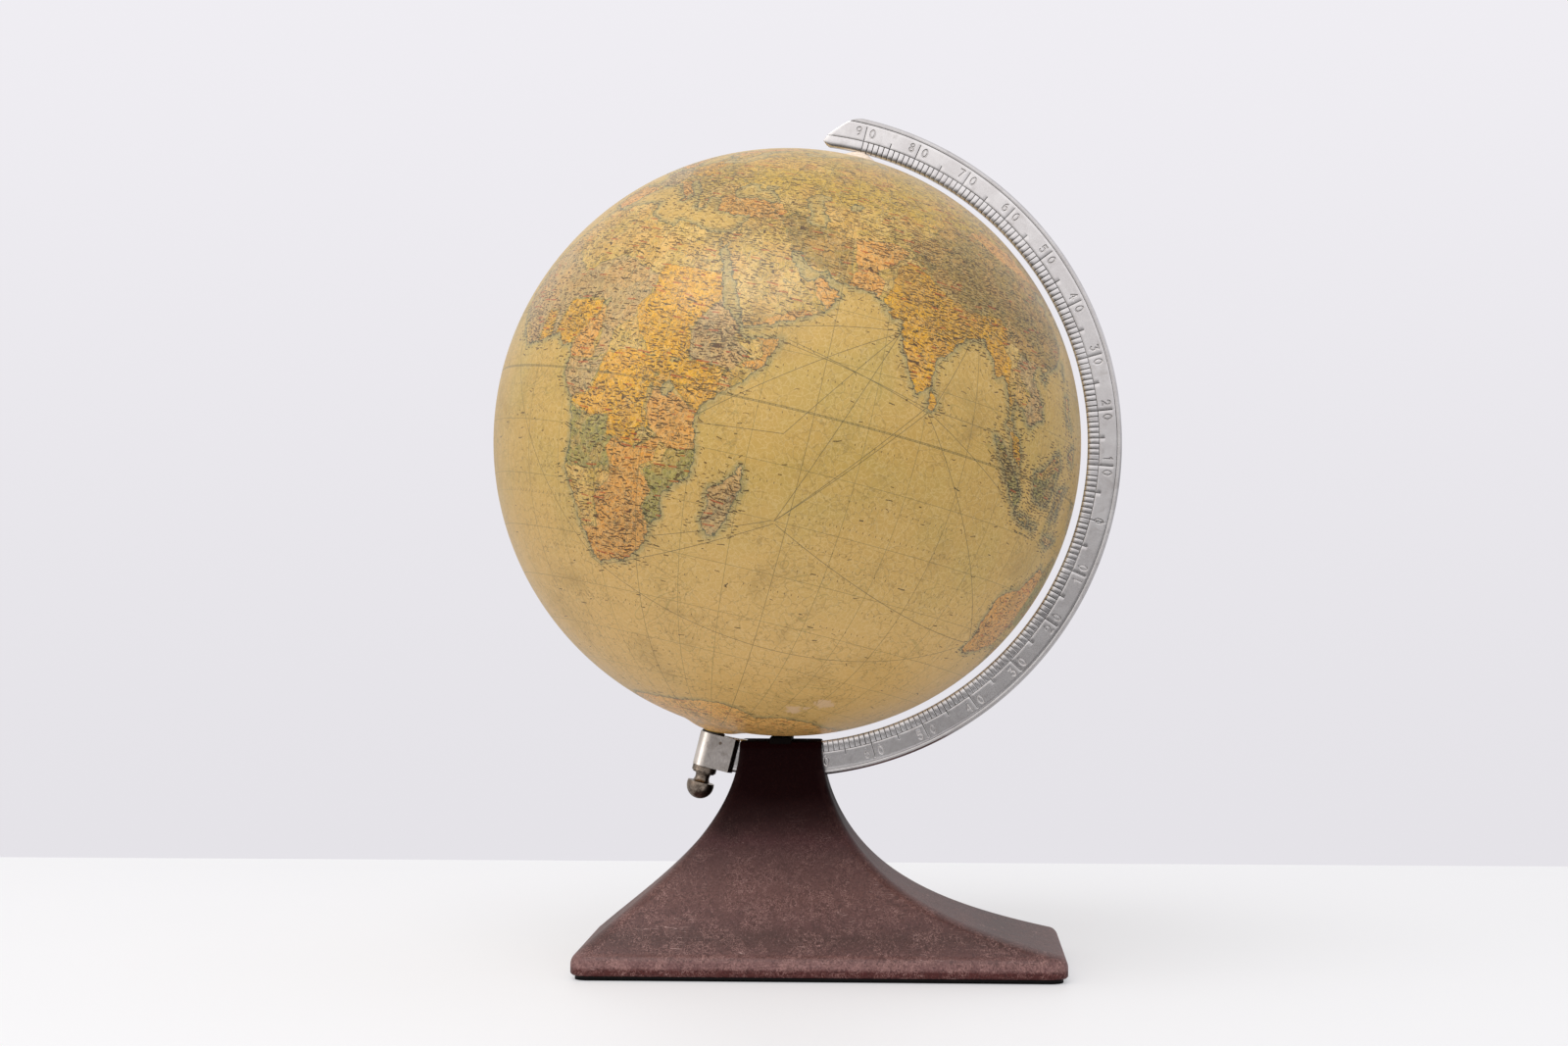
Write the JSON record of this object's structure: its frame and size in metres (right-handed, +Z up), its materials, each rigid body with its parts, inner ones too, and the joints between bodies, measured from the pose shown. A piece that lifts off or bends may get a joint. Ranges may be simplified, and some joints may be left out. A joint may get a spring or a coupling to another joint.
{
  "type": "table globe",
  "caption": "Table globe on a graduated half meridian ring that slides through the neck of a swept moulded foot, with a turned pole screw.",
  "frame": {"origin": "on the table plane, straight under the centre of the globe", "axes": "+Z up, +X along the plane of the meridian ring towards the side where the ring runs, +Y to the rear"},
  "size_m": [0.353, 0.33, 0.4779],
  "materials": {
    "bakelite": "worn oxblood brown moulded resin with fine mottling",
    "base_felt": "black felt",
    "black_sheet": "black painted sheet steel",
    "screw_steel": "plain steel",
    "cast_weight": "raw casting",
    "brass": "dull brass",
    "spring_steel": "blued spring strip",
    "brake_felt": "pressed felt",
    "black_metal": "black lacquer",
    "ring_nickel": "satin nickel plate with engraved scale",
    "clasp_nickel": "worn polished nickel plate",
    "aged_bronze": "dark patina with bright wear",
    "pale_washer": "pale bone coloured washer",
    "dark_washer": "blackened leather",
    "pasteboard": "pasted board with plaster coat",
    "map_paper": "printed map gores under aged yellow varnish",
    "wood": "turned beech"
  },
  "bodies": {
    "base": {"felt_sheet": "base_felt", "bottom_plate": "black_sheet", "plate_screws": "screw_steel", "foot_shell": "bakelite", "cast_weight": "cast_weight", "weight_screws": "screw_steel", "guide_channel": "brass", "channel_screws": "screw_steel", "brake_spring": "spring_steel", "brake_pad": "brake_felt", "spring_rivet": "brass", "slot_keeper": "black_metal", "keeper_screws": "screw_steel"},
    "meridian": {"meridian_ring": "ring_nickel", "clasp_block": "clasp_nickel", "clasp_pin": "screw_steel", "north_pivot": "screw_steel", "north_washer": "pale_washer", "south_washer": "dark_washer"},
    "globe": {"north_shell": "pasteboard", "south_shell": "pasteboard", "map_gores": "map_paper", "polar_sheets": "map_paper", "equator_hoop": "pasteboard", "axle_post": "wood", "north_block": "wood", "south_block": "wood", "north_bush": "brass", "south_bush": "brass"},
    "nut": {"lock_nut": "aged_bronze"},
    "screw": {"pole_screw": "aged_bronze"}
  },
  "joints": [
    {"name": "meridian_slide", "type": "hinge", "parent": "base", "child": "meridian", "pos_m": [0, 0, 0.2935], "axis": [0, 1, 0], "range_deg": [0, 150]},
    {"name": "globe_spin", "type": "hinge", "parent": "meridian", "child": "globe", "pos_m": [0, 0, 0.2935], "axis": [0.2468, 0, 0.9691], "continuous": true},
    {"name": "screw_travel", "type": "slide", "parent": "meridian", "child": "nut", "axis": [-0.2468, 0, -0.9691], "range_m": [0, 0.0032]},
    {"name": "screw_turn", "type": "hinge", "parent": "nut", "child": "screw", "pos_m": [0, 0, 0.2935], "axis": [-0.2468, 0, -0.9691], "range_deg": [0, 1440]}
  ],
  "couplings": [
    {"joint": "screw_turn", "follows": "screw_travel", "rad_per_m": 7854}
  ]
}
